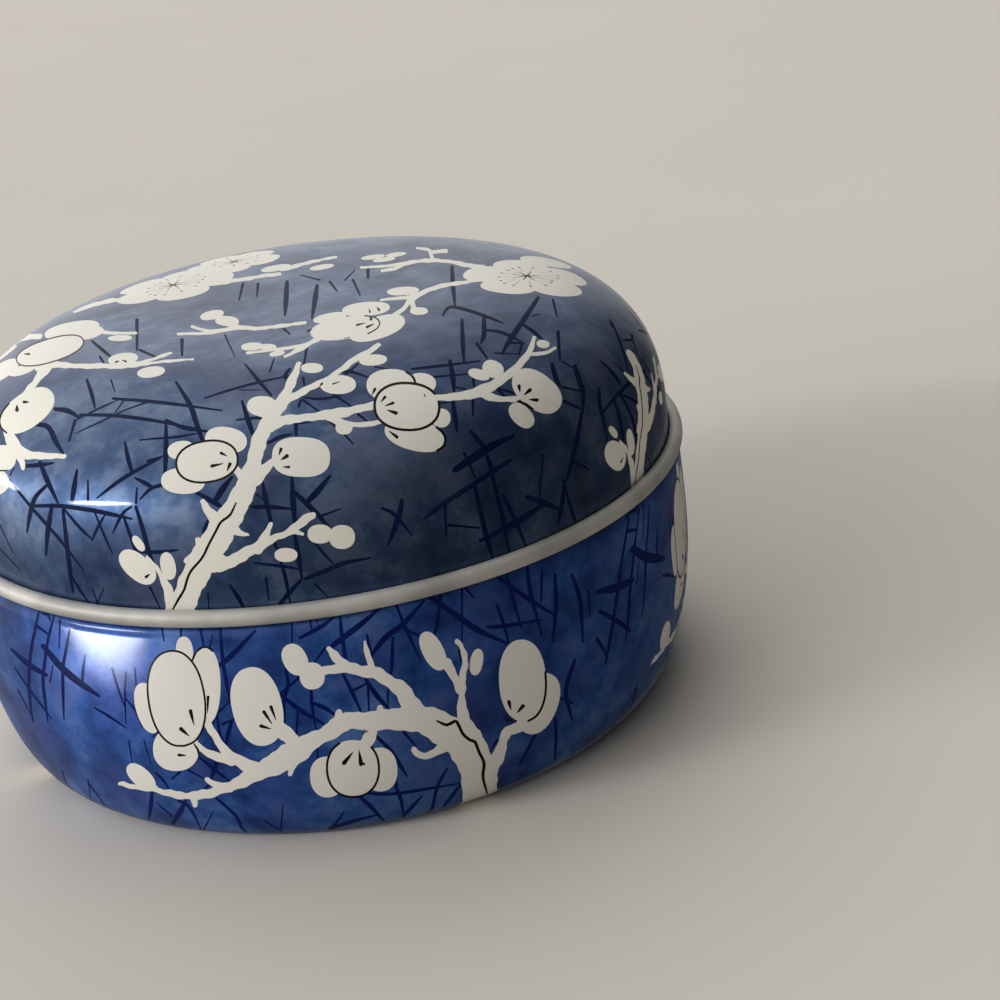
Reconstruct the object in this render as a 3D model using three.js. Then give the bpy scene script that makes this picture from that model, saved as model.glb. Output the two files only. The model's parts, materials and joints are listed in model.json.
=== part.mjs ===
// Round two-piece trinket tin: a bulging body and a domed lid that lifts off.
// Each piece is drawn from one sheet of tinplate, so its wall is the same thickness everywhere,
// and it is worked out here as the middle line of that sheet, turned about the vertical axis.
// Millimetres, +Z up, origin on the table under the centre of the tin.

import * as THREE from "three";

// Overall sizes
const RIM_DIAMETER = 89;
const TIN_HEIGHT = 50;
const SHEET = 0.3;

// Lid: rolled rim, short upright wall, then the dome
const RIM_HEIGHT = 29;
const RIM_ROLL = 1.9;
const LID_WALL = 3.3;
const CROWN_POWER = 4.5;
const SHOULDER_POWER = 2.5;

// Body: stand ring with a raised panel inside it, bulging wall, ledge, neck
const BODY_DIAMETER = 88.2;
const BULGE_HEIGHT = 20;
const BULGE_POWER = 2;
const STAND_DIAMETER = 76;
const PANEL_DIAMETER = 66;
const PANEL_RISE = 0.9;
const LEDGE_TUCK = 0.15;
const LEDGE_CORNER = 0.9;
const NECK_FOOT = 0.4;
const NECK_HEIGHT = 6;
const NECK_ROLL = 1.5;

// Fits between the lid and the body
const NECK_CLEARANCE = 0.3;
const RIM_CLEARANCE = 0.3;

// Turn of each rolled edge, and how finely the curves are cut
const ROLL_TURN = THREE.MathUtils.degToRad(280);
const ROLL_STEPS = 8;
const DOME_STEPS = 11;
const BULGE_STEPS = 8;
const CORNER_STEPS = 3;
const TURN_SEGMENTS = 48;

// Radii and heights of the middle of the sheet
const lidRadius = RIM_DIAMETER / 2 - RIM_ROLL + SHEET / 2;
const lidTop = TIN_HEIGHT - SHEET / 2;
const domeFoot = RIM_HEIGHT + LID_WALL;
const neckRadius = lidRadius - SHEET - NECK_CLEARANCE;
const ledgeHeight = RIM_HEIGHT - RIM_ROLL / 2 - RIM_CLEARANCE - SHEET / 2;
const bodyRadius = BODY_DIAMETER / 2 - SHEET / 2;

// Points on an arc about (x, y), from one angle to another, in radians.
function arc(x, y, radius, from, to, steps) {
  const points = [];
  for (let i = 0; i <= steps; i += 1) {
    const angle = from + ((to - from) * i) / steps;
    points.push(new THREE.Vector2(x + radius * Math.cos(angle), y + radius * Math.sin(angle)));
  }
  return points;
}

// The middle line with the sheet's thickness laid half on each side, closed at its outer end.
// It starts on the axis, so both faces of the sheet end there.
function sheetOutline(line) {
  const left = [];
  const right = [];
  line.forEach((point, i) => {
    const before = line[Math.max(i - 1, 0)];
    const after = line[Math.min(i + 1, line.length - 1)];
    const arrive = new THREE.Vector2().subVectors(point, before).normalize();
    const leave = new THREE.Vector2().subVectors(after, point).normalize();
    const along = new THREE.Vector2().addVectors(arrive, leave).normalize();
    const reach = SHEET / 2 / Math.max(along.dot(i > 0 ? arrive : leave), 0.5);
    const across = new THREE.Vector2(-along.y, along.x).multiplyScalar(reach);
    left.push(new THREE.Vector2().addVectors(point, across));
    right.push(new THREE.Vector2().subVectors(point, across));
  });
  left[0].set(0, left[0].y);
  right[0].set(0, right[0].y);
  return [...right, ...left.reverse()];
}

// Turns a middle line about +Z. The outline is walked so that the faces point out of the metal.
function drawnSheet(name, line, material) {
  const outline = sheetOutline(line);
  const area = THREE.ShapeUtils.area(outline);
  const geometry = new THREE.LatheGeometry(area > 0 ? outline : outline.reverse(), TURN_SEGMENTS);
  geometry.rotateX(Math.PI / 2);
  const mesh = new THREE.Mesh(geometry, material);
  mesh.name = name;
  return mesh;
}

// Lid, from the crown outwards. The dome is a superellipse: nearly flat on top, with a soft shoulder.
function lidLine() {
  const rise = lidTop - domeFoot;
  const line = [];
  for (let i = 0; i <= DOME_STEPS; i += 1) {
    const turn = (Math.PI / 2) * (i / DOME_STEPS);
    const radius = lidRadius * Math.sin(turn) ** (2 / CROWN_POWER);
    const height = domeFoot + rise * Math.abs(Math.cos(turn)) ** (2 / SHOULDER_POWER);
    line.push(new THREE.Vector2(radius, height));
  }
  const rollRadius = (RIM_ROLL - SHEET) / 2;
  const rollCentre = lidRadius + rollRadius;
  return [...line, ...arc(rollCentre, RIM_HEIGHT, rollRadius, Math.PI, Math.PI + ROLL_TURN, ROLL_STEPS)];
}

// Body, from the middle of the base outwards and up to the rolled edge of the neck.
function bodyLine() {
  const stand = SHEET / 2;
  const line = [
    new THREE.Vector2(0, stand + PANEL_RISE),
    new THREE.Vector2(PANEL_DIAMETER / 2, stand + PANEL_RISE),
    new THREE.Vector2(PANEL_DIAMETER / 2 + PANEL_RISE, stand),
  ];
  const standRadius = STAND_DIAMETER / 2;
  for (let i = 0; i <= BULGE_STEPS; i += 1) {
    const turn = (Math.PI / 2) * (1 - i / BULGE_STEPS);
    const radius = standRadius + (bodyRadius - standRadius) * Math.abs(Math.cos(turn)) ** (2 / BULGE_POWER);
    const height = stand + (BULGE_HEIGHT - stand) * (1 - Math.sin(turn) ** (2 / BULGE_POWER));
    line.push(new THREE.Vector2(radius, height));
  }
  const cornerRadius = bodyRadius - LEDGE_TUCK - LEDGE_CORNER;
  line.push(...arc(cornerRadius, ledgeHeight - LEDGE_CORNER, LEDGE_CORNER, 0, Math.PI / 2, CORNER_STEPS));
  const footRadius = neckRadius + NECK_FOOT;
  line.push(...arc(footRadius, ledgeHeight + NECK_FOOT, NECK_FOOT, Math.PI * 1.5, Math.PI, CORNER_STEPS));
  const rollRadius = (NECK_ROLL - SHEET) / 2;
  const rollHeight = ledgeHeight + NECK_HEIGHT - NECK_ROLL / 2;
  line.push(...arc(neckRadius - rollRadius, rollHeight, rollRadius, 0, ROLL_TURN, ROLL_STEPS));
  return line;
}

const lidPrint = new THREE.MeshStandardMaterial({ color: 0x4a5f86, roughness: 0.3, metalness: 0.0 });
const bodyPrint = new THREE.MeshStandardMaterial({ color: 0x2d4f92, roughness: 0.3, metalness: 0.0 });

const tin = new THREE.Group();
tin.add(drawnSheet("tin_body", bodyLine(), bodyPrint));
tin.add(drawnSheet("tin_lid", lidLine(), lidPrint));

export default tin;
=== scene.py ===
# %% [markdown]
# # A round printed tin
# This tin is two cups drawn from tinplate. The outside is printed before it is drawn, so the
# branches, blossoms and cracked ice run over every curve with no thickness of their own, and the
# back of the sheet, which stays bare, shows where the lid's rim is rolled outwards.
# The lesson makes each cup in three steps: its outline, its printed face, its bare metal.

# %% Load the frame that every piece has to fit
import json
import math

import bpy
import numpy as np
from mathutils import Matrix, Vector
from mathutils.geometry import delaunay_2d_cdt

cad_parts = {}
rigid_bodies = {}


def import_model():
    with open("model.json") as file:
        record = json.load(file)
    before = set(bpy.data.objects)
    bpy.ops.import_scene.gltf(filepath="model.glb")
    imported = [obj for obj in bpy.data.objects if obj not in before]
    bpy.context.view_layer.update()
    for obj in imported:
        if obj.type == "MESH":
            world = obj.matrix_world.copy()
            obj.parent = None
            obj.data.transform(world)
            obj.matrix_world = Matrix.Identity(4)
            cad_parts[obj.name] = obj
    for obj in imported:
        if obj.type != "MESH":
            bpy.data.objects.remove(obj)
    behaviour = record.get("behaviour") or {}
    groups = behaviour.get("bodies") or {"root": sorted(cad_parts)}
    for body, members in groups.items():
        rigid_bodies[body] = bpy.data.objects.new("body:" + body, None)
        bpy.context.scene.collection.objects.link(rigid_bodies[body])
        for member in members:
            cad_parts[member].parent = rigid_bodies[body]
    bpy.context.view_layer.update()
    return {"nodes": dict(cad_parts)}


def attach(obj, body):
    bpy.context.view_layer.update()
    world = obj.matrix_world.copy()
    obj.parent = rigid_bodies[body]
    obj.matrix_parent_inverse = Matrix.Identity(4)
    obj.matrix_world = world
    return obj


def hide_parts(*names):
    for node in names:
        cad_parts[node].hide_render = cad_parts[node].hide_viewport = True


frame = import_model()
MM = 0.001
print("nodes to dress:", sorted(frame["nodes"]))

# %% [markdown]
# ## The sizes of the tin
# All lengths here are millimetres, read off the same drawing as the solids. Each cup is described
# by the outline of its outer face, from the axis outwards, because the print lies on that face.
# `PANEL_STEP` is the soft step under the base: the distance past the panel's radius, and the height.

# %% Sizes
RIM_RADIUS = 44.5
TIN_HEIGHT = 50.0
SHEET = 0.3
RIM_HEIGHT = 29.0
ROLL_RADIUS = 0.95
DOME_FOOT = 32.3
CROWN_POWER = 4.5
SHOULDER_POWER = 2.5
LID_RADIUS = RIM_RADIUS - 2 * ROLL_RADIUS + SHEET
BODY_RADIUS = 44.1
BULGE_HEIGHT = 20.0
STAND_RADIUS = 38.0
PANEL_RADIUS = 33.0
PANEL_RISE = 0.9
RIM_GAP = 0.02
LEDGE_HEIGHT = RIM_HEIGHT - ROLL_RADIUS - RIM_GAP
LEDGE_CORNER = 1.05
LEDGE_TUCK = 0.15
NECK_CLEARANCE = 0.3
NECK_RADIUS = LID_RADIUS - SHEET - NECK_CLEARANCE
NECK_FOOT = 0.3
NECK_TOP = 33.6
NECK_ROLL = 0.75
PANEL_STEP = ((-0.6, PANEL_RISE), (-0.2, PANEL_RISE - 0.12), (0.7, 0.12), (1.1, 0.0))
WALL_MARGIN = 0.25
CURVE_POINTS = 260
ROUND = 320


def arc(x, y, radius, start, end, steps):
    """Points on an arc in the outline's plane, with its angles in degrees."""
    turn = np.radians(np.linspace(start, end, steps + 1))
    return np.stack([x + radius * np.cos(turn), y + radius * np.sin(turn)], 1)


def inward(line, depth):
    """The same outline moved to its right-hand side by a depth, as the back of a sheet lies."""
    along = np.gradient(line, axis=0)
    along /= np.linalg.norm(along, axis=1)[:, None]
    return line + depth * np.stack([along[:, 1], -along[:, 0]], 1)


turn = np.linspace(0, math.pi / 2, CURVE_POINTS)
dome = np.stack([LID_RADIUS * np.sin(turn) ** (2 / CROWN_POWER),
                 DOME_FOOT + (TIN_HEIGHT - DOME_FOOT) * np.abs(np.cos(turn)) ** (2 / SHOULDER_POWER)], 1)
wall_heights = np.linspace(DOME_FOOT - WALL_MARGIN, RIM_HEIGHT + WALL_MARGIN, 14)
lid_wall = np.array([[LID_RADIUS, height] for height in wall_heights])
lid_outline = np.concatenate([dome, lid_wall])

bulge = np.stack([STAND_RADIUS + (BODY_RADIUS - STAND_RADIUS) * np.sin(turn),
                  BULGE_HEIGHT * (1 - np.cos(turn))], 1)
body_wall = np.stack([np.linspace(BODY_RADIUS, BODY_RADIUS - LEDGE_TUCK, 20)[1:],
                      np.linspace(BULGE_HEIGHT, LEDGE_HEIGHT - LEDGE_CORNER, 20)[1:]], 1)
ledge = arc(BODY_RADIUS - LEDGE_TUCK - LEDGE_CORNER, LEDGE_HEIGHT - LEDGE_CORNER, LEDGE_CORNER,
            0, 90, 10)[1:]
base = np.array([(0, PANEL_RISE)] + [(PANEL_RADIUS + past, height) for past, height in PANEL_STEP])
body_outline = np.concatenate([base, bulge, body_wall, ledge])
print("lid outline", len(lid_outline), "points; body outline", len(body_outline), "points")

# %% [markdown]
# ## The camera
# The place and turn of the camera come from matching the rolled rim and the tin's outline in the
# photograph. It is set up before the print, because the front of the print is placed through it.
# The two middles are pixels well inside each cup, and the two columns are the first and the last
# in which the tin shows. The tin is met between the nearest and farthest distance, in millimetres.

# %% Camera
CAMERA_PLACE = np.array([0.0, -260.0, 125.3])
CAMERA_YAW = 0.0826
CAMERA_PITCH = 0.3826
CAMERA_ROLL = -0.1286
FOCAL_PIXELS = 2268.0
PICTURE = 1000
SENSOR_WIDTH = 36
PIXELS_PER_MM = 8.2
LID_MIDDLE = (300, 430)
BODY_MIDDLE = (300, 700)
FIRST_COLUMN, LAST_COLUMN = -2, 592
NEAREST, FARTHEST = 180, 380

forward = np.array([math.sin(CAMERA_YAW) * math.cos(CAMERA_PITCH),
                    math.cos(CAMERA_YAW) * math.cos(CAMERA_PITCH), -math.sin(CAMERA_PITCH)])
level = np.array([math.cos(CAMERA_YAW), -math.sin(CAMERA_YAW), 0.0])
upright = np.cross(level, forward)
right = math.cos(CAMERA_ROLL) * level + math.sin(CAMERA_ROLL) * upright
up = math.cos(CAMERA_ROLL) * upright - math.sin(CAMERA_ROLL) * level

bpy.ops.object.camera_add()
camera = bpy.context.object
camera.name = "photo_camera"
camera.matrix_world = Matrix([[*pair, place * MM] for *pair, place in
                              zip(right, up, -forward, CAMERA_PLACE)] + [[0, 0, 0, 1]])
camera.data.sensor_width = SENSOR_WIDTH
camera.data.lens = FOCAL_PIXELS * SENSOR_WIDTH / PICTURE
camera.data.clip_start = 0.01
bpy.context.scene.camera = camera
print("camera lens", round(camera.data.lens, 1), "mm")

# %% [markdown]
# ## From a place in the photograph to a place on the sheet
# A printed sheet is flat before it is drawn into a cup. The same flat disc is used here: a point's
# distance from its middle is the length along the outline, and its angle is the angle round the
# tin. `seen` follows the camera's ray through a pixel to the cup and gives the point on that disc.


# %% The flat sheet
class Sheet:
    """The outer face of one cup, as a flat disc and as a surface turned about the axis."""

    def __init__(self, outline, upward):
        steps = np.linalg.norm(np.diff(outline, axis=0), axis=1)
        self.outline = outline
        self.length = np.concatenate([[0], np.cumsum(steps)])
        self.upward = upward
        tangent = np.gradient(outline, axis=0)
        tangent /= np.linalg.norm(tangent, axis=1)[:, None]
        facing = np.stack([-tangent[:, 1], tangent[:, 0]], 1)
        self.facing = facing if upward else -facing

    def radius_at(self, height):
        """Outer radius at a height, for following a ray: the walls run on past the rim."""
        wall = self.outline if self.upward else self.outline[len(base):]
        order = np.argsort(wall[:, 1], kind="stable")
        inside = (height < TIN_HEIGHT) if self.upward else (height > 0)
        return np.where(inside, np.interp(height, wall[order, 1], wall[order, 0]), -1)

    def seen(self, x, y):
        """The flat place on the sheet that the camera sees at a pixel of the photograph.
        Past the outline of the tin the place runs on round the curve, out of sight."""
        inwards = np.array(LID_MIDDLE if self.upward else BODY_MIDDLE) - [x, y]
        for pull in np.linspace(0, 1, 120):
            spot = self.follow(*(np.array([x, y]) + pull * inwards))
            if spot is not None:
                beyond = pull * np.linalg.norm(inwards) / PIXELS_PER_MM
                along = np.linalg.norm(spot)
                return spot * (along + (beyond if self.upward else -beyond)) / along
        raise ValueError("no ray meets the sheet")

    def nearest(self, spots):
        """The outline points before and after each (radius, height) spot, and its share of the way."""
        near = ((spots[:, None] - self.outline[None]) ** 2).sum(2).argmin(1)
        low, high = np.maximum(near - 1, 0), np.minimum(near + 1, len(self.outline) - 1)
        step = self.outline[high] - self.outline[low]
        share = ((spots - self.outline[low]) * step).sum(1) / (step * step).sum(1)
        return low, high, np.clip(share, 0, 1)

    def follow(self, x, y):
        """The flat place that the ray through a pixel meets first, or None where it misses."""
        ray = forward + right * (x - PICTURE / 2) / FOCAL_PIXELS - up * (y - PICTURE / 2) / FOCAL_PIXELS
        reach = np.linspace(NEAREST, FARTHEST, 500)
        for _ in range(3):
            spots = CAMERA_PLACE + reach[:, None] * ray
            inside = np.hypot(spots[:, 0], spots[:, 1]) < self.radius_at(spots[:, 2])
            if not inside.any() or inside[0]:
                return None
            first = int(np.argmax(inside))
            reach = np.linspace(reach[first - 1], reach[first], 60)
        spot = CAMERA_PLACE + reach[-1] * ray
        (low,), (high,), (share,) = self.nearest(np.array([[math.hypot(spot[0], spot[1]), spot[2]]]))
        along = self.length[low] + share * (self.length[high] - self.length[low])
        angle = math.atan2(spot[1], spot[0])
        return np.array([along * math.cos(angle), along * math.sin(angle)])

    def lift(self, flat):
        """Places and normals in space for flat places on the sheet."""
        along = np.hypot(flat[:, 0], flat[:, 1])
        safe = np.maximum(along, 1e-9)
        ray = flat / safe[:, None]
        radius = np.interp(along, self.length, self.outline[:, 0])
        height = np.interp(along, self.length, self.outline[:, 1])
        out = np.interp(along, self.length, self.facing[:, 0])
        rise = np.interp(along, self.length, self.facing[:, 1])
        places = np.stack([radius * ray[:, 0], radius * ray[:, 1], height], 1)
        normals = np.stack([out * ray[:, 0], out * ray[:, 1], rise], 1)
        return places, normals / np.linalg.norm(normals, axis=1)[:, None]

    def hidden(self, flat):
        """True where the photograph doesn't show the sheet: behind the tin or past its picture."""
        places, normals = self.lift(flat)
        away = CAMERA_PLACE - places
        across = -(away @ right) / -(away @ forward) * FOCAL_PIXELS + PICTURE / 2
        return ((normals * away).sum(1) < 0) | (across < FIRST_COLUMN) | (across > LAST_COLUMN)


lid_sheet = Sheet(lid_outline, True)
body_sheet = Sheet(body_outline, False)
print("drawn lengths", round(lid_sheet.length[-1], 1), "and", round(body_sheet.length[-1], 1), "mm")

# %% [markdown]
# ## Brush shapes
# The painter of this pattern used three moves: a loaded stroke that swells and tapers, a petal
# laid down as a soft oval, and a fine line. Each becomes an outline in the photograph's pixels,
# which `seen` then carries onto the sheet, so that it follows the curve of the metal. In the lists
# below, each shape is the name of a method of `Print` and its numbers, in the photograph's pixels.

# %% Strokes and petals
ICE, WHITE, INK = 1, 2, 3
EDGE_MARGIN = 0.06


def smooth(points, gap=3.0):
    """A soft curve through a few points, with a new point about every gap."""
    points = np.array(points, float)
    if len(points) == 2:
        count = max(int(np.linalg.norm(points[1, :2] - points[0, :2]) / gap), 2)
        return points[0] + np.linspace(0, 1, count + 1)[:, None] * (points[1] - points[0])
    ends = np.concatenate([[2 * points[0] - points[1]], points, [2 * points[-1] - points[-2]]])
    curve = []
    for a, b, c, d in zip(ends, ends[1:], ends[2:], ends[3:]):
        count = max(int(np.linalg.norm((c - b)[:2]) / gap), 2)
        t = np.linspace(0, 1, count, endpoint=False)[:, None]
        curve.append(0.5 * (2 * b + (c - a) * t + (2 * a - 5 * b + 4 * c - d) * t * t
                            + (3 * b - 3 * c + d - a) * t ** 3))
    return np.concatenate(curve + [points[-1:]])


def stroke(points, ripple=0.0):
    """The outline of a brush stroke through (x, y, width) points, with round ends.
    A ripple makes its two sides uneven, as the edge of a loaded brush leaves them."""
    line = smooth(points)
    along = np.gradient(line[:, :2], axis=0)
    along /= np.linalg.norm(along, axis=1)[:, None]
    across = np.stack([-along[:, 1], along[:, 0]], 1)
    half = np.maximum(line[:, 2:3] / 2, 0.02)
    count = np.arange(len(line))[:, None] + line[0, 0]
    uneven = [ripple * np.sin(rate * count) * np.sin(0.37 * rate * count + 1) for rate in (1.3, 0.9)]
    sides = [line[:, :2] + across * (half + uneven[0]), (line[:, :2] - across * (half + uneven[1]))[::-1]]
    outline = []
    for side, at, run in ((sides[0], -1, along[-1]), (sides[1], 0, -along[0])):
        heading = math.atan2(run[1], run[0]) - np.radians([-60, -30, 0, 30, 60])
        outline += [side, line[at, :2] + half[at] * np.stack([np.cos(heading), np.sin(heading)], 1)]
    return np.concatenate(outline)


def oval(x, y, long, wide, tilt=0.0, plump=2.2):
    """The outline of a petal or bud: a plump oval, its long half first, tilted in degrees."""
    turn = np.linspace(0, 2 * math.pi, 40, endpoint=False)
    a = long * np.sign(np.cos(turn)) * np.abs(np.cos(turn)) ** (2 / plump)
    b = wide * np.sign(np.sin(turn)) * np.abs(np.sin(turn)) ** (2 / plump)
    lean = math.radians(tilt)
    return np.stack([x + a * math.cos(lean) - b * math.sin(lean),
                     y + a * math.sin(lean) + b * math.cos(lean)], 1)


class Print:
    """The shapes printed on one sheet, later ones over earlier ones."""

    def __init__(self, sheet, bold=1.0):
        self.sheet = sheet
        self.bold = bold
        self.shapes = []
        self.group = "ice"

    def add(self, colour, flat):
        """Adds a shape that is already in millimetres on the flat sheet."""
        self.shapes.append((colour, flat, self.group))

    def lay(self, colour, outline):
        """Adds a shape drawn in pixels, and keeps it just inside the edge of the sheet."""
        edge = self.sheet.length[-1] - EDGE_MARGIN
        flat = np.array([self.sheet.seen(x, y) for x, y in outline])
        along = np.hypot(flat[:, 0], flat[:, 1])
        self.add(colour, flat * np.minimum(1, edge / np.maximum(along, 1e-9))[:, None])

    def draw(self, group, shapes):
        """Lays a named group of shapes in turn: each is the name of a method below, and its numbers."""
        self.group = group
        methods = {"bough": self.bough, "petal": self.petal, "inked_petal": self.inked_petal,
                   "ticks": self.ticks, "line": self.line, "round_petal": self.round_petal,
                   "open_blossom": self.open_blossom}
        for kind, *numbers in shapes:
            methods[kind](*numbers)

    def ice(self, strokes):
        """Strokes of the cracked ice: width, then the x and y of each point. Both ends taper."""
        for width, *numbers in strokes:
            points = np.array(numbers, float).reshape(-1, 2)
            swell = np.interp(np.linspace(0, 1, len(points)), [0, 0.35, 0.8, 1], [0.8, 1.15, 1.1, 0.5])
            swell = swell * width * self.bold
            self.lay(ICE, stroke(np.column_stack([points, swell])))

    def bough(self, *numbers):
        """A knotty bough: the x, y and width of each point. A broad one has the rougher edge."""
        points = np.array(numbers, float).reshape(-1, 3)
        width = points[0, 2]
        self.lay(WHITE, stroke(points, min(0.4 + 0.03 * width, 1.1) if width > 4 else 0.25))

    def petal(self, *shape):
        """A petal or bud without ink: the numbers of `oval`."""
        self.lay(WHITE, oval(*shape))

    def inked_petal(self, x, y, long, wide, tilt=0.0, start=0, end=360, line=1.9):
        """A petal with a fine outline along part of its edge, between two angles."""
        whole = oval(x, y, long, wide, tilt)
        self.lay(WHITE, whole)
        edge = np.roll(whole, -round(start / 9), axis=0)[:max(round((end - start) / 9), 2)]
        if end - start >= 360:
            edge = np.concatenate([whole, whole[:1]])
        self.lay(INK, stroke(np.column_stack([edge, np.full(len(edge), line)])[::2]))

    def ticks(self, *numbers):
        """Fine marks, five numbers each: x and y of the thin end, of the thick end, and its width."""
        for x0, y0, x1, y1, width in zip(*[iter(numbers)] * 5):
            middle = ((x0 + x1) / 2, (y0 + y1) / 2, width * 0.7)
            self.lay(INK, stroke([(x0, y0, 0.7), middle, (x1, y1, width)]))

    def round_petal(self, x, y, long, wide, tilt=0.0):
        """A petal or bud drawn in millimetres on the sheet, for places seen almost edge on."""
        self.add(WHITE, self.sheet.seen(x, y) + oval(0, 0, long, wide, tilt))

    def open_blossom(self, x, y, across, turn, threads):
        """A blossom seen from above: five round petals, a dark star, and threads ending in dots."""
        heart = self.sheet.seen(x, y)
        for step in range(5):
            lean = math.radians(turn + 72 * step)
            away = np.array([math.cos(lean), math.sin(lean)]) * 0.3 * across
            self.add(WHITE, heart + away + oval(0, 0, 0.19 * across, 0.215 * across, turn + 72 * step))
        self.add(WHITE, heart + oval(0, 0, 0.2 * across, 0.2 * across))
        marks = []
        for step in range(8):
            lean = 2 * math.pi * (step + 0.5) / 8
            away = np.array([math.cos(lean), math.sin(lean)]) * across * 0.12
            marks.append(stroke([(*(0.1 * away), 0.26), (*away, 0.12)]))
        for step in range(threads):
            lean = 2 * math.pi * (step + 0.3 * math.sin(5 * step)) / threads
            away = np.array([math.cos(lean), math.sin(lean)]) * across * (0.24 + 0.04 * math.sin(7 * step))
            marks.append(stroke([(*(0.5 * away), 0.05), (*away, 0.06)]))
            marks.append(away + oval(0, 0, 0.17, 0.17))
        for mark in marks:
            self.add(INK, heart + mark)

    def line(self, width, *numbers):
        """A line of ink: its width, then the x and y of each point. Both ends taper."""
        points = np.array(numbers, float).reshape(-1, 2)
        swell = np.full(len(points), float(width))
        swell[0] = swell[-1] = width * 0.6
        self.lay(INK, stroke(np.column_stack([points, swell])))

    def carry_round(self, degrees, groups, flip=1, shown=0.0):
        """Repeats the shapes of some groups, or their mirror image, where the photograph shows none.
        At most a share `shown` of a shape may come into the photograph."""
        lean = math.radians(degrees)
        spin = np.array([[math.cos(lean), math.sin(lean)], [-math.sin(lean), math.cos(lean)]])
        spin[0] *= flip
        for colour, flat, group in list(self.shapes):
            moved = flat @ spin
            if group in groups and self.sheet.hidden(moved).mean() >= 1 - shown:
                self.shapes.append((colour, moved, "repeat"))


print("brush shapes ready")

# %% [markdown]
# ## The print on the lid
# The pattern is the old one of prunus on cracked ice: dark strokes crossing like cracks, and over
# them white boughs, buds and blossoms. The strokes of ice go down first. The numbers are pixels of
# the photograph, so that every bough stands where it does there.

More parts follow.
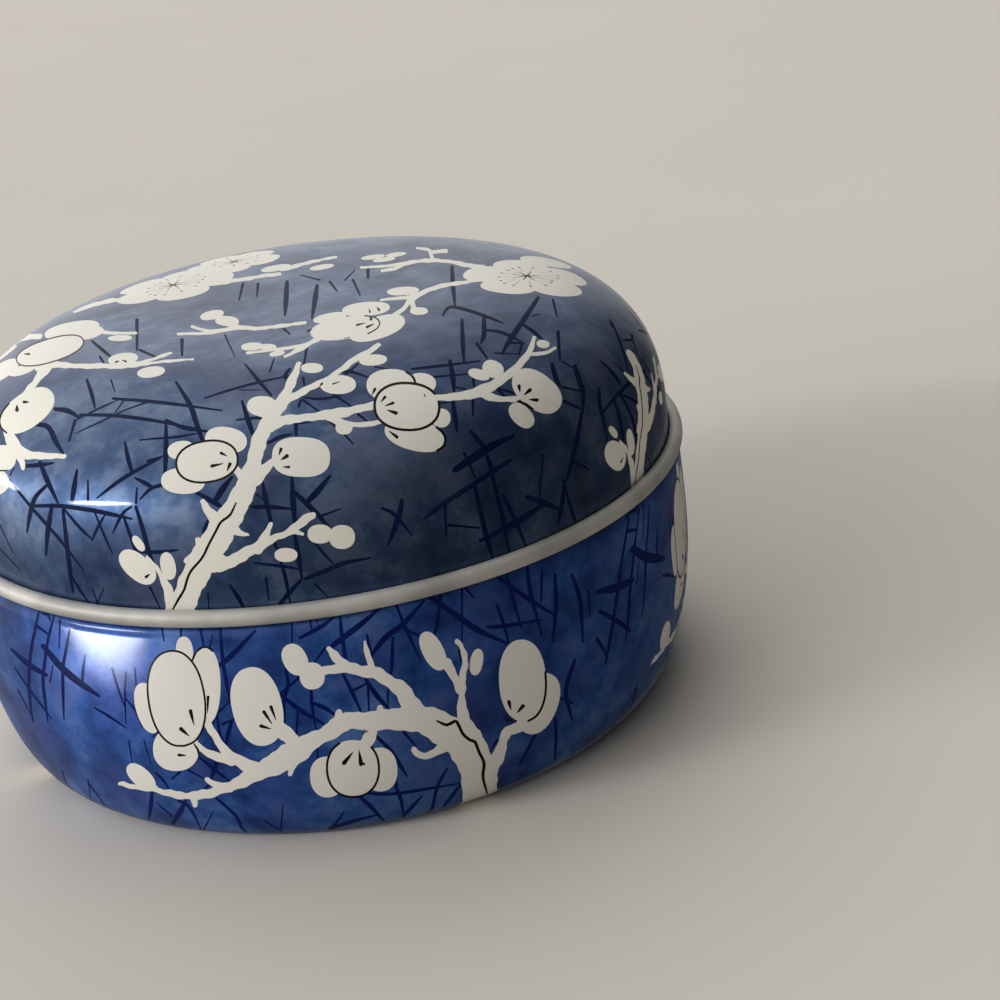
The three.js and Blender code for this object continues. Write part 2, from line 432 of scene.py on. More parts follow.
# %% Ice on the lid
LID_ICE = (
    (2.5, 14, 486, 32, 508, 60, 540, 84, 571), (4, 40, 462, 47, 480, 58, 503),
    (3.5, 46, 486, 35, 498, 30, 515, 27, 532), (3.5, 33, 506, 60, 506, 90, 510, 110, 514, 132, 519),
    (4, 52, 505, 48, 530, 46, 555), (3.5, 63, 510, 67, 545, 70, 570, 73, 592),
    (2.5, 64, 509, 80, 528, 93, 540), (2.5, 92, 540, 99, 525, 105, 515),
    (2, 95, 513, 105, 537, 113, 555), (4, 72, 501, 74, 488, 77, 470), (3, 88, 500, 88, 480),
    (3, 160, 458, 132, 473, 115, 484, 97, 498), (1.5, 0, 525, 13, 553), (1.5, 0, 549, 20, 570),
    (2.5, 131, 507, 124, 512, 118, 522, 113, 533), (3, 124, 518, 132, 540, 140, 560, 148, 572),
    (3.5, 136, 507, 143, 530, 149, 552, 154, 564), (3, 141, 552, 160, 552, 178, 550),
    (3.5, 153, 488, 145, 483, 135, 478), (3, 165, 485, 152, 488, 140, 499), (3, 136, 503, 137, 488),
    (2, 70, 573, 80, 590, 90, 604), (2, 98, 604, 92, 588), (2, 97, 604, 104, 588),
    (2.5, 150, 587, 160, 608), (4, 55, 409, 68, 411, 80, 418), (4, 33, 424, 48, 427, 56, 442, 64, 455),
    (3.5, 75, 421, 69, 441), (1.5, 125, 410, 100, 422, 74, 434),
    (2.8, 80, 415, 113, 415.5, 150, 420, 201, 429.5), (3, 87, 380, 92, 395, 95, 408),
    (2, 111, 380, 115, 392), (2, 124, 400, 112, 417), (1.5, 120, 412, 145, 403, 160, 401),
    (2.8, 113, 398.5, 163, 402.7, 222, 410.5), (3.5, 132, 472, 128, 458, 125, 442),
    (2, 140, 440, 160, 438), (3.5, 24, 466, 40, 465, 53, 463), (4, 137, 320, 137, 350),
    (3, 140, 350, 158, 358), (2.5, 92, 341, 105, 352, 112, 358), (3, 100, 357, 104, 363),
    (2, 10, 475, 14, 468), (4, 203, 442, 197, 425, 190, 405, 176, 382),
    (1.6, 74, 421, 100, 408, 118, 400), (2, 205, 398, 230, 390, 260, 382, 298, 374),
    (3, 271, 395, 258, 380, 245, 364), (1.5, 240, 390, 262, 390), (4, 254, 437, 248, 420, 242, 401),
    (2.5, 270, 418, 255, 418, 236, 420), (2, 225, 335, 235, 357), (2.5, 270, 371, 274, 359),
    (3.5, 307, 346, 304, 364), (3, 290, 369, 285, 376, 291, 385), (3.5, 299, 406, 301, 400),
    (2.2, 340, 396, 320, 399, 302, 397), (3, 303, 400, 320, 412), (3, 303, 378, 305, 388),
    (5, 296, 425, 296, 437), (2, 296, 424, 312, 422), (3, 268, 443, 280, 437, 292, 434),
    (4, 271, 522, 266, 500, 262, 480), (4.5, 295, 523, 293, 500, 292, 476),
    (3.5, 252, 507, 270, 507, 293, 509), (2, 256, 494, 264, 500),
    (4, 294, 492, 305, 502, 318, 515, 332, 531), (5, 306, 503, 317, 492, 330, 476),
    (3, 321, 516, 340, 509), (2.5, 316, 544, 325, 555, 333, 563), (4, 295, 536, 299, 560, 302, 578),
    (4, 273, 541, 279, 552), (3, 281, 562, 286, 580, 290, 602), (2.5, 255, 563, 280, 566, 300, 569),
    (3.5, 305, 579, 325, 571, 345, 563, 370, 558), (4, 280, 604, 290, 592, 302, 579),
    (2.5, 315, 584, 328, 597), (3, 266, 578, 269, 600), (3.5, 243, 606, 238, 597, 230, 585),
    (2, 208, 593, 209, 610), (5, 214, 503, 222, 490, 232, 477), (4, 196, 492, 215, 503, 223, 508),
    (4, 209, 520, 205, 530, 203, 537), (4, 165, 473, 166, 450, 166, 420),
    (3, 166, 420, 185, 428, 212, 432), (3, 148, 461, 163, 456), (2, 149, 439, 176, 437, 200, 433),
    (3, 150, 490, 162, 483), (4, 402, 500, 400, 512, 394, 530, 388, 545),
    (3, 382, 508, 395, 515, 412, 535), (3, 334, 395, 351, 406), (2.5, 340, 372, 352, 372, 370, 378),
    (3, 345, 375, 358, 364), (3, 328, 420, 337, 428), (3, 358, 414, 368, 422),
    (2.5, 345, 435, 353, 444), (2, 375, 367, 388, 369), (2.5, 412, 369, 440, 366, 480, 361),
    (2.5, 434, 377, 467, 374), (4, 450, 361, 453, 378, 454, 392), (3.5, 462, 320, 463, 345, 464, 361),
    (2.5, 455, 387, 468, 390), (4, 453, 402, 455, 418, 457, 431), (2, 440, 403, 455, 402),
    (3.5, 473, 400, 473, 415), (3.5, 473, 376, 474, 386), (3.5, 484, 447, 478, 440, 470, 430),
    (6, 455, 470, 470, 460, 490, 447, 513, 436), (3, 464, 453, 469, 462),
    (4, 487, 456, 491, 468, 493, 482), (4, 510, 460.5, 492, 472, 474, 484, 442, 505, 424, 519),
    (3, 470, 465, 475, 478), (4, 538, 298, 525, 318, 510, 340, 502, 354),
    (3.5, 452, 267, 453, 285, 455, 305), (2.5, 443, 315, 450, 307, 470, 311, 490, 318, 503, 323),
    (4, 484, 318, 484, 335, 481, 343), (2.5, 486, 330, 500, 332, 512, 337, 522, 342),
    (3, 524, 325, 535, 333, 544, 341), (3, 553, 300, 557, 316), (2, 532, 316, 540, 314),
    (4, 558, 332, 560, 360), (3.5, 477, 344, 487, 358), (2, 495, 353, 520, 354),
    (3, 510, 343, 524, 343), (3, 522, 343, 519, 355), (4, 497, 388, 506, 398), (3, 500, 389, 517, 394),
    (4, 552, 364, 556, 378, 560, 386), (4, 575, 366, 579, 380, 583, 392, 583, 410),
    (3, 562, 387, 585, 392), (2.5, 563, 362, 580, 372), (4, 561, 400, 583, 410),
    (3.5, 582, 412, 577, 440, 572, 460, 567, 480), (3, 572, 461, 589, 469), (3, 543, 455, 541, 482),
    (4, 317, 286, 315, 300, 312, 318), (3, 353, 280, 360, 295), (3, 330, 282, 337, 291),
    (4, 368, 268, 368, 278), (2, 320, 280, 300, 275), (2, 345, 280, 355, 270),
    (4, 287, 282, 286, 300, 285, 315), (3, 243, 284, 239, 300), (3, 258, 284, 257, 296),
    (3, 284, 329, 290, 334), (4, 182, 340, 182, 355), (3.5, 445, 503, 446, 536),
    (3, 448, 525, 480, 528), (4, 475, 487, 486, 535, 493, 558), (3.5, 493, 478, 503, 520, 509, 551),
    (3.5, 503, 495, 515, 520, 526, 546), (5, 543, 505, 515, 523, 480, 541), (3.5, 540, 480, 540, 497),
    (5, 527, 497, 545, 503, 560, 510), (3.5, 565, 480, 562, 505, 558, 524),
    (2.5, 563, 480, 573, 515, 576, 522))
lid_print = Print(lid_sheet, bold=1.18)
lid_print.ice(LID_ICE)
print("ice on the lid:", len(lid_print.shapes), "strokes")

# %% [markdown]
# Boughs come next, then petals over them. A petal in front has a fine dark line along its edge
# where it covers another, and the line is laid straight after its petal.

# %% The front bough of the lid
LOW_BOUGH = (
    ("bough", 179, 616, 29, 186, 596, 25, 196, 574, 27, 209, 552, 29, 224, 526, 27, 238, 504, 22),
    ("petal", 239.5, 497, 14, 10, -66),
    ("bough", 232, 512, 22, 238, 504, 22, 246, 486, 20, 253, 466, 16, 257, 448, 15, 264, 430, 15,
     272, 416, 15, 283, 400, 12, 290, 385, 9, 296, 372, 6.5, 299, 364, 5),
    ("bough", 172, 606, 14, 168, 590, 9, 161, 575, 5.5, 147, 557, 3),
    ("bough", 196, 556, 14, 186, 561, 5), ("bough", 220, 524, 16, 210, 513, 9, 203, 502, 6),
    ("bough", 202, 548, 14, 198, 540, 6),
    ("bough", 214, 562, 22, 230, 562, 13, 246, 553, 11, 262, 544, 10, 280, 536, 6, 295, 528, 9,
     306, 519, 8, 313, 515, 6),
    ("bough", 258, 549, 11, 265, 536, 8, 271, 524, 4), ("bough", 293, 530, 6, 302, 534, 4),
    ("bough", 230, 527, 14, 240, 533, 6, 248, 535, 2.5), ("petal", 137.5, 567, 22, 12, 42),
    ("petal", 168, 566, 14, 7.5, 78), ("petal", 138.5, 543.5, 9, 4.2, 55),
    ("petal", 320, 534, 12.5, 9.5), ("petal", 342, 537, 13, 12), ("petal", 286, 555, 11.5, 7),
    ("ticks", 150, 574, 146, 577, 3),
    ("line", 2.6, 172, 611, 178, 600, 184, 590, 187, 580, 191, 571, 202, 558, 209, 544, 216, 531,
     221, 522, 230, 515, 236, 503))
lid_print.draw("low bough", LOW_BOUGH)
FRONT_BOUGH = (
    ("bough", 248, 486, 14, 241, 475, 9, 233, 467, 7),
    ("bough", 254, 480, 14, 264, 470, 11, 272, 462, 7), ("petal", 262, 406, 15, 10),
    ("bough", 258, 412, 8, 268, 416, 6, 274, 418, 6), ("petal", 312, 368, 11, 5),
    ("petal", 181, 450, 13.5, 9, -10), ("petal", 183, 481, 22, 13, 2), ("petal", 226, 440, 21, 13, 8),
    ("inked_petal", 207, 461.5, 31, 20.5, -9, 0, 360, 2.3), ("petal", 301, 457, 29, 20, 2, 2.5),
    ("ticks", 227, 456, 221, 453, 3, 223, 463.5, 212, 466, 3.4, 279, 455, 281, 449, 3.2,
     281, 460, 287, 456, 4, 283, 467, 289, 467, 2.6, 227, 471, 230, 464, 3.5))
lid_print.draw("front bough", FRONT_BOUGH)
print("front bough:", len(lid_print.shapes), "shapes so far")

# %% The right bough of the lid
RIGHT_BOUGH = (
    ("bough", 278, 406, 12, 290, 398, 8, 302, 392, 7, 325, 380, 5, 345, 367, 5, 355, 359, 6.5,
     367, 353, 6, 379, 345, 4),
    ("petal", 338, 384.5, 18, 9.5), ("petal", 373, 360, 14, 5.5, -4),
    ("bough", 270, 425, 14, 285, 420, 10, 300, 418.5, 7.5, 320, 415.5, 8.5, 340, 413, 10,
     360, 408.5, 7.5, 380, 404, 7),
    ("bough", 325, 416, 6, 338, 421, 8, 350, 424.5, 5, 364, 424.5, 5, 384, 421, 5),
    ("petal", 344, 427.5, 8.5, 7), ("petal", 441, 418, 9.5, 9.5), ("petal", 422, 383, 14, 10, 8),
    ("inked_petal", 391, 385, 24.5, 16, 0, -50, 25, 2.4),
    ("inked_petal", 415, 435, 31, 15.5, 14, -55, 45, 2.6),
    ("inked_petal", 407, 406.5, 32.5, 23.5, 3, 0, 360, 2.7),
    ("bough", 434, 398, 5, 455, 396.5, 8, 470, 394.5, 9, 483, 390, 12, 495, 384, 9, 508, 375, 8.5,
     518, 366, 7.5, 526, 357, 6.5, 531, 348, 5, 534, 338, 4.5),
    ("bough", 528, 354, 4, 545, 353, 3.5, 555, 348, 3), ("petal", 493, 369, 11, 8.5, 25),
    ("petal", 479, 374.5, 11, 5.2, 16), ("petal", 543, 344, 6.5, 4, 8),
    ("bough", 482, 392, 11, 494, 398, 7, 508, 399.5, 5, 517, 398.5, 6),
    ("petal", 537, 391, 28, 17.5, 38), ("petal", 521.5, 415.5, 15, 9.5, 45),
    ("ticks", 372, 395, 375, 389, 3, 381, 402, 385, 397, 3, 385, 406, 393, 403, 3,
     387, 410, 396, 413, 3.8, 389, 431, 397, 437, 3.4, 424, 394, 425, 396, 1.5,
     340, 381.5, 333, 384, 1.6, 320, 386, 322, 383.5, 2.4, 520, 392, 519, 386, 3.6,
     524, 395, 530, 390, 4, 529, 399.5, 537, 400, 3.6),
    ("line", 3, 518, 401, 525, 404, 533, 409))
lid_print.draw("right bough", RIGHT_BOUGH)
print("right bough:", len(lid_print.shapes), "shapes so far")

# %% The left bough of the lid
LEFT_BOUGH = (
    ("bough", 38, 368, 7, 50, 364, 9, 62, 365, 5.5, 80, 366, 5, 100, 366, 5, 120, 366, 5, 135, 364.5, 5,
     150, 360, 3.2, 171, 353, 2.8),
    ("bough", 135, 365, 5, 150, 363, 3, 170, 361, 2.6, 193, 359, 2.2), ("petal", 123, 359, 15, 6, -8),
    ("petal", 151, 372, 14, 5.4, -8), ("bough", 46, 366, 12, 37, 380, 7, 27, 392, 6, 17, 404, 5),
    ("bough", 8, 430, 9, 12, 442, 12, 18, 451, 13, 30, 455, 9, 46, 456, 6, 64, 456, 5),
    ("bough", 19, 455, 9, 22, 463, 6, 23, 469, 2.5),
    ("bough", 3, 352, 8, 10, 346, 7.5, 18, 339, 6, 40, 336, 5), ("round_petal", 1, 352, 2.4, 1.9, -40),
    ("petal", 3, 458, 13, 13), ("petal", -6, 482, 15, 13), ("petal", -22, 447, 14, 12, 20),
    ("petal", 22, 370, 14, 4.6, -18), ("petal", 2, 371, 19, 7.5, -33), ("petal", 72, 330, 28, 8, -11),
    ("petal", 92, 333, 12, 5, -20), ("bough", 98, 331, 4, 112, 333, 3, 136, 333, 2.6),
    ("petal", 120, 338, 12, 3, -2), ("inked_petal", 50, 350.5, 35, 11.5, -17, 0, 360, 1.3),
    ("inked_petal", 27, 410.5, 31, 17, -36, 160, 268, 1.9),
    ("ticks", 119, 361, 116, 362, 2.2, 122, 360, 126, 361.5, 2, 17, 405, 17, 410, 4,
     29, 402, 24, 402, 3.2, 24, 354, 29, 354, 2.4, 8, 470, -2, 471, 2))
lid_print.draw("left bough", LEFT_BOUGH)
print("left bough:", len(lid_print.shapes), "shapes so far")

# %% Blossoms and twigs on the top of the lid
TOP_BOUGHS = (
    ("open_blossom", 173, 285, 15.5, 285, 15), ("open_blossom", 234, 261.5, 12.5, 262, 11),
    ("round_petal", 88, 306, 1.6, 1.1, 20), ("round_petal", 104, 302, 1.5, 1.2, 30),
    ("bough", 202, 285, 5, 225, 282, 4, 245, 279, 3.5, 262, 276, 3.5, 280, 274, 3),
    ("round_petal", 276, 268, 1.9, 1.5, 10),
    ("bough", 282, 269, 5, 300, 265, 3.5, 315, 261, 3, 336, 257, 2.6),
    ("round_petal", 322, 267, 1.5, 1.2, 10), ("petal", 212, 315, 12, 4.5, -12),
    ("petal", 227, 321, 12, 5, 4),
    ("bough", 230, 325, 5, 245, 328, 4, 262, 328, 3.6, 280, 326, 3.4, 305, 322.5, 3.4),
    ("bough", 238, 328, 4, 222, 330, 3.5, 208, 331, 3, 192, 326.5, 2.8),
    ("bough", 226, 330, 3, 208, 333, 3, 178, 334, 2.6), ("petal", 330, 317.5, 17, 4.5, -11),
    ("petal", 366, 309, 24, 7, -5), ("petal", 377, 328, 29, 11, -17),
    ("inked_petal", 345, 328, 35, 11, -9, -50, 80, 1.4),
    ("bough", 392, 317, 5, 403, 309, 4.5, 408, 303, 5, 412, 298, 7, 420, 294, 5, 435, 287.5, 4.5,
     450, 284.5, 4, 478, 280, 3.6),
    ("petal", 403, 291, 16, 4.2, -4), ("bough", 410, 297, 4, 395, 298.5, 3, 381, 300, 2.6),
    ("bough", 411, 299, 6, 413, 306, 5, 414, 310, 5), ("petal", 419, 311, 9, 3.8),
    ("bough", 318, 339, 5, 308, 344, 4.5, 300, 349, 4.5, 285, 356.5, 2.8),
    ("bough", 305, 345, 4, 295, 347, 3.5, 275, 349.5, 3, 247, 353, 2.5),
    ("petal", 252, 346.5, 11, 4, -4), ("petal", 268, 347, 8.5, 3.2), ("petal", 277, 353.5, 8, 2.6, -10),
    ("bough", 484, 268, 5, 462, 264, 4, 445, 261, 3.6, 425, 260.5, 3.6, 408, 263, 4, 395, 268, 3.5,
     382, 271, 2.8),
    ("bough", 406, 263, 3, 385, 266, 2.6, 361, 267.5, 2.4), ("round_petal", 373, 257, 1.5, 1.1),
    ("round_petal", 384, 259.5, 1.4, 1.0), ("round_petal", 396, 254.5, 1.3, 1.1, 20),
    ("bough", 433, 260, 3.4, 431, 254, 3.4, 429, 250, 3, 417, 248, 2.4),
    ("bough", 430, 252, 3, 446, 251, 4), ("open_blossom", 527, 276, 15.6, 19, 16),
    ("round_petal", 546, 261.5, 3.2, 2.8), ("line", 1.2, 344, 338.5, 350, 337),
    ("ticks", 371, 316, 371, 319, 3.4, 369, 309, 370, 312, 2, 377, 307, 379, 310, 2.6,
     365, 323, 357, 325, 2.4, 374, 324, 367, 327, 2.8, 312, 329, 308, 331, 3),
    ("bough", 74, 312, 2.2, 95, 305, 2.4, 122, 299, 3))
lid_print.draw("top", TOP_BOUGHS)
print("whole lid front:", len(lid_print.shapes), "shapes")

# %% [markdown]
# ## The print on the body
# The body has one old trunk that rises from the foot and throws its bough to the left, with the
# largest blossoms of the tin hanging in its crooks.

# %% Ice on the body
BODY_ICE = (
    (3, 39, 612, 36, 625, 32, 645, 30, 660, 29, 680, 30, 700, 33, 722), (4, 37, 626, 48, 634),
    (3, 54, 616, 48, 640, 45, 660, 43, 680, 45, 700, 48, 722), (3, 60, 620, 59, 648),
    (3, 70, 628, 66, 650, 63, 668, 63, 690, 64, 719), (5, 46, 675, 28, 664, 11, 649),
    (6, 43, 646, 62, 668, 80, 683, 99, 696), (2, 15, 668, 30, 690, 45, 710, 52, 719),
    (2, 18, 690, 34, 720), (3, 82, 686, 83, 672, 85, 655), (3, 42, 613, 49, 616, 50, 621),
    (2.4, 50, 682, 53, 665), (2.5, 112, 668, 117, 685, 124, 705), (2, 126, 672, 125, 695, 126, 724),
    (3, 137, 697, 135, 668), (2.5, 95, 708, 110, 717, 126, 728), (2, 125, 698, 135, 710, 142, 727),
    (3, 162, 628, 164, 641), (4, 181, 627, 181, 637), (4, 200, 627, 204, 647),
    (2.5, 129, 741, 132, 762), (2, 144, 741, 151, 764), (2.4, 156, 773, 163, 780, 170, 791),
    (4, 152, 792, 151, 805, 149, 819), (3, 172, 816, 157, 803), (5, 173, 823, 180, 812, 186, 800),
    (3, 178, 800, 190, 808, 201, 829), (2.5, 204, 829, 213, 812), (2, 62, 771, 68, 789),
    (2, 88, 780, 91, 801), (2.5, 90, 785, 107, 808), (3.5, 220, 626, 223, 662, 226, 680, 230, 702),
    (5, 218, 667, 232, 655, 255, 631), (3, 203, 648, 204, 655), (2.5, 209, 650, 213, 634),
    (3, 219, 712, 231, 700), (4, 211, 726, 219, 710), (3, 217, 714, 220, 735, 226, 748, 232, 756),
    (4, 223, 724, 235, 719), (4, 232, 720, 228, 735, 226, 746), (3, 199, 757, 215, 770, 231, 782),
    (4.5, 218, 759, 215, 768, 211, 779), (3, 188, 770, 203, 778), (3.5, 180, 772, 172, 779),
    (4, 203, 791, 210, 784), (4.5, 302, 675, 281, 693), (3.5, 286, 670, 288, 685, 284, 700, 285, 722),
    (4.5, 281, 695, 300, 710, 324, 724), (3.5, 298, 712, 296, 737), (3.5, 311, 688, 312, 705, 316, 729),
    (4, 313, 703, 325, 708, 335, 715), (3, 292, 621, 292, 646), (4, 300, 638, 322, 626, 334, 617),
    (3, 310, 620, 312, 631), (2, 316, 619, 319, 627), (3.5, 340, 617, 342, 636, 345, 655, 347, 664),
    (5, 329, 649, 340, 640, 360, 625, 381, 607), (3.5, 325, 648, 315, 662),
    (5, 371, 656, 385, 638, 402, 625, 424, 601), (3, 367, 635, 370, 650, 372, 659),
    (3.5, 393, 638, 392, 660, 391, 679), (3.5, 342, 672, 352, 692, 362, 714), (4, 352, 691, 368, 683),
    (3.5, 368, 682, 369, 713), (4.5, 366, 680, 378, 697, 389, 709), (3, 388, 690, 388, 707),
    (3, 396, 604, 403, 622, 411, 640, 421, 661), (4.5, 405, 629, 421, 637),
    (3.5, 441, 592, 437, 625, 434, 636), (5.5, 430, 597, 460, 618, 478, 630, 506, 643),
    (3, 462, 589, 462, 643), (3.5, 464, 586, 474, 598), (4, 488, 627, 505, 626, 542, 620),
    (3.5, 497, 605, 504, 625, 509, 644), (3, 506, 572, 515, 606, 522, 629),
    (4.5, 495, 575, 530, 600, 555, 615), (3, 317, 746, 318, 759),
    (4, 374, 734, 390, 750, 400, 765, 407, 776), (4, 404, 732, 416, 746),
    (3.5, 397, 765, 396, 785, 401, 800, 404, 817), (3, 361, 793, 390, 794, 420, 790, 462, 783),
    (4, 357, 794, 370, 806, 385, 822), (3.5, 329, 829, 350, 822, 377, 815),
    (2.5, 330, 828, 337, 822, 344, 812), (3.5, 403, 816, 411, 808, 422, 796),
    (3, 447, 769, 438, 785, 433, 805, 430, 814), (3.2, 444, 806, 455, 792, 461, 784),
    (2.5, 465, 801, 452, 809), (2.5, 281, 829, 283, 805), (2.5, 264, 821, 282, 831),
    (3, 215, 797, 235, 815, 242, 828, 248, 833), (3, 497, 740, 490, 752),
    (3, 537, 731, 530, 745, 519, 766), (3, 555, 718, 556, 735, 555, 760), (4, 556, 696, 573, 703),
    (4, 527, 563, 530, 590, 542, 636), (4, 542, 570, 541, 602), (4, 555, 575, 556, 605, 553, 642),
    (4, 572, 575, 580, 600, 583, 642), (3, 588, 590, 590, 616), (3, 459, 650, 461, 661),
    (4, 575, 660, 566, 690, 572, 720))
body_print = Print(body_sheet)
body_print.ice(BODY_ICE)
print("ice on the body:", len(body_print.shapes), "strokes")

# %% The trunk and its bough
MAIN_TRUNK = (
    ("bough", 481, 812, 37, 479, 788, 33, 476, 768, 34, 468, 752, 33, 456, 738, 32, 440, 727, 32,
     420, 719, 27, 400, 719, 23, 380, 720, 20, 360, 721, 17, 344, 722, 18, 328, 733, 16, 312, 741, 17,
     296, 752, 24, 282, 760, 24, 262, 771, 17, 244, 780, 13, 226, 788, 10, 205, 794, 9, 185, 796, 7.5,
     160, 791, 5.5, 140, 787.5, 4.6, 120, 784, 4.2),)
body_print.draw("main trunk", MAIN_TRUNK)
TRUNK_BOUGHS = (
    ("bough", 488, 790, 19, 489, 772, 17, 496, 760, 14, 501, 750, 10, 504, 738, 9.5, 508, 731, 10,
     520, 727, 10),
    ("bough", 482, 768, 22, 478, 748, 20, 468, 730, 17, 463, 716, 12, 462, 702, 7.5, 462, 688, 7.5,
     462, 678, 7, 465, 668, 6, 464, 655, 5.5, 461, 646, 5.5, 457, 641, 4.6),
    ("bough", 460, 690, 9, 454, 676, 8, 446, 663, 11),
    ("bough", 414, 714, 26, 408, 700, 18, 401, 689, 15, 388, 681, 12.5, 374, 672, 12, 360, 671, 11,
     346, 666, 11, 336, 657, 8, 329, 649, 5.5),
    ("bough", 345, 668, 9, 328, 670, 9, 316, 674, 12),
    ("bough", 373, 670, 7, 368, 656, 5.5, 365, 642, 3), ("bough", 340, 722, 16, 339, 712, 6),
    ("bough", 381, 718, 14, 380, 708, 6),
    ("bough", 445, 745, 13, 436, 752, 8, 425, 756, 7.2, 417, 754, 6.5, 414, 749, 5),
    ("bough", 293, 762, 12, 290, 774, 4.5), ("bough", 230, 788, 9, 217, 785, 6.5, 207, 779.5, 4.6),
    ("bough", 194, 797, 8, 195, 805, 5), ("bough", 272, 724, 20, 286, 734, 14, 300, 748, 14),
    ("bough", 206, 720, 9, 213, 733, 7, 222, 747, 8, 233, 757, 10, 248, 766, 13, 262, 771, 14),
    ("bough", 193, 741, 6, 203, 750, 6.5, 215, 756, 8, 232, 761, 10))
body_print.draw("trunk", TRUNK_BOUGHS)
TRUNK_CRACK = (
    ("line", 3.2, 437, 721, 447, 725, 455, 721, 458, 724, 463, 734, 470, 740, 475, 742, 479, 752,
     484, 763, 483, 777, 487, 793),)
body_print.draw("main trunk", TRUNK_CRACK)
print("trunk:", len(body_print.shapes), "shapes so far")

# %% Buds and blossoms of the body
TRUNK_BUDS = (
    ("petal", 433, 651, 21, 10.5, 63), ("petal", 476.5, 662, 13.5, 6.4, 100),
    ("petal", 295, 659.5, 16.5, 12, 62), ("petal", 312, 676, 13.5, 12.5, 80),
    ("petal", 257, 706.5, 40, 25, 76), ("petal", 141, 777, 17.5, 9, 42),
    ("bough", 150, 785, 10, 158, 790, 5),
    ("ticks", 276, 720, 271, 707, 3.4, 272, 724, 264, 712, 3.6, 271, 729, 261, 726, 3.6))
body_print.draw("trunk", TRUNK_BUDS)
LEFT_BLOSSOM = (
    ("petal", 184.5, 652, 15.5, 8.6, 85), ("petal", 148, 708, 26, 12, 74),
    ("inked_petal", 205, 686, 39, 15.5, 90, 150, 215, 2.2), ("petal", 176, 749, 23, 22, 0),
    ("inked_petal", 176.5, 698.5, 48, 28, 81, 0, 360, 2.1), ("line", 2.4, 192, 662, 194, 656, 197, 651),
    ("line", 2.2, 158, 731, 153, 737), ("line", 2.4, 194, 744, 198, 750, 199, 757),
    ("ticks", 194, 725, 190.5, 711, 3.8, 189, 736, 181, 729, 4.2, 207.5, 713, 208, 697, 3,
     186, 755.5, 179, 755, 3.2))
body_print.draw("left blossom", LEFT_BLOSSOM)
HANGING_BLOSSOM = (
    ("petal", 327, 777, 20.5, 17, 84), ("petal", 380, 769.5, 22, 17.5, 86),
    ("inked_petal", 353, 768.5, 28.5, 26, 88, 205, 525, 2.3),
    ("bough", 374, 724, 10, 370, 736, 12, 363, 747, 13, 356, 756, 20),
    ("line", 1.8, 362, 734, 368, 731),
    ("ticks", 353, 752, 344, 763, 4.4, 359, 750, 361, 764, 4.4, 360, 762, 364, 764, 2.6))
body_print.draw("hanging blossom", HANGING_BLOSSOM)
RIGHT_BUD = (
    ("petal", 538.5, 703.5, 32, 19, 112), ("bough", 507, 731, 7, 518, 729, 8, 528, 725, 10),
    ("inked_petal", 522.5, 680.5, 41, 23.5, 88, 262, 372, 2.3),
    ("ticks", 511, 710, 509, 702, 4, 517, 713, 523, 706, 4, 513, 720, 506, 720, 2.6))
body_print.draw("right bud", RIGHT_BUD)
print("whole body front:", len(body_print.shapes), "shapes")

# %% [markdown]
# ## The sides that the photograph hides
# The front pattern is carried round the axis, as a repeat on a printed sheet would be, and some
# boughs are mirrored. A shape is laid only where the photograph doesn't show the tin, so nothing in
# front is disturbed. Only the trunk may come up to half into view, so that one can have its foot
# at the left edge of the tin.

# %% Repeats round the back
for degrees in (97, 194, 291):
    lid_print.carry_round(degrees, ["ice"])
    body_print.carry_round(degrees, ["ice"])
for degrees, flip in ((78, 1), (120, -1), (196, 1), (245, -1)):
    lid_print.carry_round(degrees, ["low bough"], flip)
for degrees in (94, 180, 271):
    body_print.carry_round(degrees, ["main trunk"], shown=0.5)
    body_print.carry_round(degrees, ["trunk", "left blossom", "hanging blossom", "right bud"])
for sheet_print in (lid_print, body_print):
    sheet_print.shapes.sort(key=lambda shape: shape[0] != ICE)
print("lid shapes", len(lid_print.shapes), "body shapes", len(body_print.shapes))

# %% [markdown]
# ## Cutting the print into the surface
# A picture drawn by a shader would be soft or slow here. Instead the flat disc is triangulated with
# every outline as an edge, each triangle takes the colour of the top shape over it, and the disc is
# lifted onto the cup. The print keeps crisp edges and has no thickness. Thin triangles would dent
# the shading, so each point is also given the true normal of the curve.

# %% Printed face of a cup
POINT_GAP = 1.0
CUT_MERGE = 1e-4


def winding(points, outline):
    """How many times an outline goes round each point."""
    total = np.zeros(len(points), int)
    following = np.roll(outline, -1, 0)
    for (x0, y0), (x1, y1) in zip(outline, following):
        side = (x1 - x0) * (points[:, 1] - y0) - (points[:, 0] - x0) * (y1 - y0)
        total += ((y0 <= points[:, 1]) & (y1 > points[:, 1]) & (side > 0)).astype(int)
        total -= ((y0 > points[:, 1]) & (y1 <= points[:, 1]) & (side < 0)).astype(int)
    return total


def disc_points(sheet, gap):
    """Rings of points over the flat disc, as far apart as on the finished cup."""
    rings = [np.zeros((1, 2))]
    count = int(sheet.length[-1] / gap)
    for i in range(1, count):
        along = sheet.length[-1] * i / count
        radius = float(np.interp(along, sheet.length, sheet.outline[:, 0]))
        points = max(int(2 * math.pi * radius / gap), 8)
        turn = np.linspace(0, 2 * math.pi, points, endpoint=False) + 0.37 * i
        rings.append(along * np.stack([np.cos(turn), np.sin(turn)], 1))
    turn = np.linspace(0, 2 * math.pi, ROUND, endpoint=False)
    rings.append(sheet.length[-1] * np.stack([np.cos(turn), np.sin(turn)], 1))
    return np.concatenate(rings)


